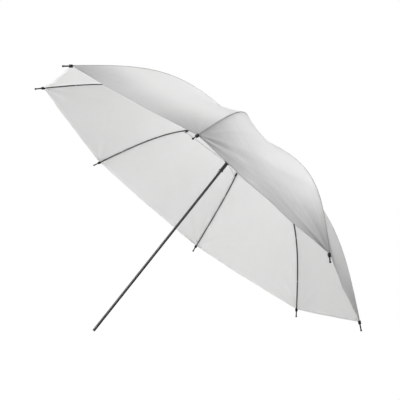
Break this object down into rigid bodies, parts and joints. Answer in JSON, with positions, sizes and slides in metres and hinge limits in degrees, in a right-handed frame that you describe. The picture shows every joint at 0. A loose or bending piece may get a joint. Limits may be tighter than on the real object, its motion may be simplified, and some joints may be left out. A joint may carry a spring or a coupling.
{
  "type": "umbrella reflector",
  "caption": "Folding studio light umbrella with a white translucent domed canopy on curved wire ribs, hinged stretchers, a sliding runner and a slim round shaft for a stand clamp.",
  "frame": {"origin": "centre of the shaft's lower end face", "axes": "+Z along the shaft towards the canopy's crown, +X through rib 1, rib numbers run counter-clockwise seen from above"},
  "size_m": [1.0952, 1.0952, 0.692],
  "materials": {
    "shaft_metal": "satin dark grey tube",
    "black_plastic": "gloss moulded",
    "cap_black": "gloss moulded",
    "tip_black": "gloss moulded",
    "bright_steel": "plated",
    "catch_steel": "sprung steel",
    "clip_steel": "pressed steel",
    "rib_steel": "dark drawn wire",
    "stretcher_steel": "drawn wire",
    "white_pad": "felt",
    "canopy_cloth": "translucent white woven nylon"
  },
  "bodies": {
    "root": {"shaft": "shaft_metal", "shaft_end_plug": "black_plastic", "top_notch": "black_plastic", "notch_pin": "bright_steel", "notch_wire": "bright_steel", "cap_washer": "white_pad", "ferrule_cap": "cap_black", "catch_pin": "bright_steel"},
    "runner": {"runner_body": "black_plastic", "runner_wire": "bright_steel"},
    "catch": {"runner_catch": "catch_steel"},
    "rib_1": {"rib_1": "rib_steel", "rib_tip_1": "tip_black", "rib_clip_1": "clip_steel", "clip_rivet_1": "bright_steel", "gore_1": "canopy_cloth"},
    "stretcher_1": {"stretcher_1": "stretcher_steel"},
    "rib_2": {"rib_2": "rib_steel", "rib_tip_2": "tip_black", "rib_clip_2": "clip_steel", "clip_rivet_2": "bright_steel", "gore_2": "canopy_cloth"},
    "stretcher_2": {"stretcher_2": "stretcher_steel"},
    "rib_3": {"rib_3": "rib_steel", "rib_tip_3": "tip_black", "rib_clip_3": "clip_steel", "clip_rivet_3": "bright_steel", "gore_3": "canopy_cloth"},
    "stretcher_3": {"stretcher_3": "stretcher_steel"},
    "rib_4": {"rib_4": "rib_steel", "rib_tip_4": "tip_black", "rib_clip_4": "clip_steel", "clip_rivet_4": "bright_steel", "gore_4": "canopy_cloth"},
    "stretcher_4": {"stretcher_4": "stretcher_steel"},
    "rib_5": {"rib_5": "rib_steel", "rib_tip_5": "tip_black", "rib_clip_5": "clip_steel", "clip_rivet_5": "bright_steel", "gore_5": "canopy_cloth"},
    "stretcher_5": {"stretcher_5": "stretcher_steel"},
    "rib_6": {"rib_6": "rib_steel", "rib_tip_6": "tip_black", "rib_clip_6": "clip_steel", "clip_rivet_6": "bright_steel", "gore_6": "canopy_cloth"},
    "stretcher_6": {"stretcher_6": "stretcher_steel"},
    "rib_7": {"rib_7": "rib_steel", "rib_tip_7": "tip_black", "rib_clip_7": "clip_steel", "clip_rivet_7": "bright_steel", "gore_7": "canopy_cloth"},
    "stretcher_7": {"stretcher_7": "stretcher_steel"},
    "rib_8": {"rib_8": "rib_steel", "rib_tip_8": "tip_black", "rib_clip_8": "clip_steel", "clip_rivet_8": "bright_steel", "gore_8": "canopy_cloth"},
    "stretcher_8": {"stretcher_8": "stretcher_steel"}
  },
  "joints": [
    {"name": "rib_1_fold", "type": "hinge", "parent": "root", "child": "rib_1", "pos_m": [0.007, 0, 0.6705], "axis": [0, 1, 0], "range_deg": [0, 61], "deforming": ["gore_1"]},
    {"name": "stretcher_1_turn", "type": "hinge", "parent": "rib_1", "child": "stretcher_1", "pos_m": [0.25813, 0, 0.62099], "axis": [0, 1, 0], "range_deg": [-124, 2]},
    {"name": "rib_2_fold", "type": "hinge", "parent": "root", "child": "rib_2", "pos_m": [0.00495, 0.00495, 0.6705], "axis": [-0.7071, 0.7071, 0], "range_deg": [-1, 62], "deforming": ["gore_2"]},
    {"name": "stretcher_2_turn", "type": "hinge", "parent": "rib_2", "child": "stretcher_2", "pos_m": [0.18252, 0.18252, 0.62099], "axis": [-0.7071, 0.7071, 0], "range_deg": [-124, 2]},
    {"name": "rib_3_fold", "type": "hinge", "parent": "root", "child": "rib_3", "pos_m": [0, 0.007, 0.6705], "axis": [-1, 0, 0], "range_deg": [-1, 62], "deforming": ["gore_3"]},
    {"name": "stretcher_3_turn", "type": "hinge", "parent": "rib_3", "child": "stretcher_3", "pos_m": [0, 0.25813, 0.62099], "axis": [-1, 0, 0], "range_deg": [-124, 2]},
    {"name": "rib_4_fold", "type": "hinge", "parent": "root", "child": "rib_4", "pos_m": [-0.00495, 0.00495, 0.6705], "axis": [-0.7071, -0.7071, 0], "range_deg": [-1, 62], "deforming": ["gore_4"]},
    {"name": "stretcher_4_turn", "type": "hinge", "parent": "rib_4", "child": "stretcher_4", "pos_m": [-0.18252, 0.18252, 0.62099], "axis": [-0.7071, -0.7071, 0], "range_deg": [-124, 2]},
    {"name": "rib_5_fold", "type": "hinge", "parent": "root", "child": "rib_5", "pos_m": [-0.007, 0, 0.6705], "axis": [0, -1, 0], "range_deg": [-1, 62], "deforming": ["gore_5"]},
    {"name": "stretcher_5_turn", "type": "hinge", "parent": "rib_5", "child": "stretcher_5", "pos_m": [-0.25813, 0, 0.62099], "axis": [0, -1, 0], "range_deg": [-124, 2]},
    {"name": "rib_6_fold", "type": "hinge", "parent": "root", "child": "rib_6", "pos_m": [-0.00495, -0.00495, 0.6705], "axis": [0.7071, -0.7071, 0], "range_deg": [-1, 62], "deforming": ["gore_6"]},
    {"name": "stretcher_6_turn", "type": "hinge", "parent": "rib_6", "child": "stretcher_6", "pos_m": [-0.18252, -0.18252, 0.62099], "axis": [0.7071, -0.7071, 0], "range_deg": [-124, 2]},
    {"name": "rib_7_fold", "type": "hinge", "parent": "root", "child": "rib_7", "pos_m": [0, -0.007, 0.6705], "axis": [1, 0, 0], "range_deg": [-1, 62], "deforming": ["gore_7"]},
    {"name": "stretcher_7_turn", "type": "hinge", "parent": "rib_7", "child": "stretcher_7", "pos_m": [0, -0.25813, 0.62099], "axis": [1, 0, 0], "range_deg": [-124, 2]},
    {"name": "rib_8_fold", "type": "hinge", "parent": "root", "child": "rib_8", "pos_m": [0.00495, -0.00495, 0.6705], "axis": [0.7071, 0.7071, 0], "range_deg": [-1, 62], "deforming": ["gore_8"]},
    {"name": "stretcher_8_turn", "type": "hinge", "parent": "rib_8", "child": "stretcher_8", "pos_m": [0.18252, -0.18252, 0.62099], "axis": [0.7071, 0.7071, 0], "range_deg": [-124, 2]},
    {"name": "runner_travel", "type": "hinge", "parent": "stretcher_1", "child": "runner", "pos_m": [0.007, 0, 0.57148], "axis": [0, 1, 0], "range_deg": [-1, 62]},
    {"name": "catch_press", "type": "hinge", "parent": "root", "child": "catch", "pos_m": [0.0019, 0, 0.51958], "axis": [0, -1, 0], "range_deg": [0, 9], "deforming": ["runner_catch"]}
  ],
  "couplings": [
    {"joint": "stretcher_1_turn", "follows": "rib_1_fold", "ratio": -2},
    {"joint": "rib_2_fold", "follows": "rib_1_fold", "ratio": 1},
    {"joint": "stretcher_2_turn", "follows": "rib_1_fold", "ratio": -2},
    {"joint": "rib_3_fold", "follows": "rib_1_fold", "ratio": 1},
    {"joint": "stretcher_3_turn", "follows": "rib_1_fold", "ratio": -2},
    {"joint": "rib_4_fold", "follows": "rib_1_fold", "ratio": 1},
    {"joint": "stretcher_4_turn", "follows": "rib_1_fold", "ratio": -2},
    {"joint": "rib_5_fold", "follows": "rib_1_fold", "ratio": 1},
    {"joint": "stretcher_5_turn", "follows": "rib_1_fold", "ratio": -2},
    {"joint": "rib_6_fold", "follows": "rib_1_fold", "ratio": 1},
    {"joint": "stretcher_6_turn", "follows": "rib_1_fold", "ratio": -2},
    {"joint": "rib_7_fold", "follows": "rib_1_fold", "ratio": 1},
    {"joint": "stretcher_7_turn", "follows": "rib_1_fold", "ratio": -2},
    {"joint": "rib_8_fold", "follows": "rib_1_fold", "ratio": 1},
    {"joint": "stretcher_8_turn", "follows": "rib_1_fold", "ratio": -2},
    {"joint": "runner_travel", "follows": "rib_1_fold", "ratio": 1}
  ]
}
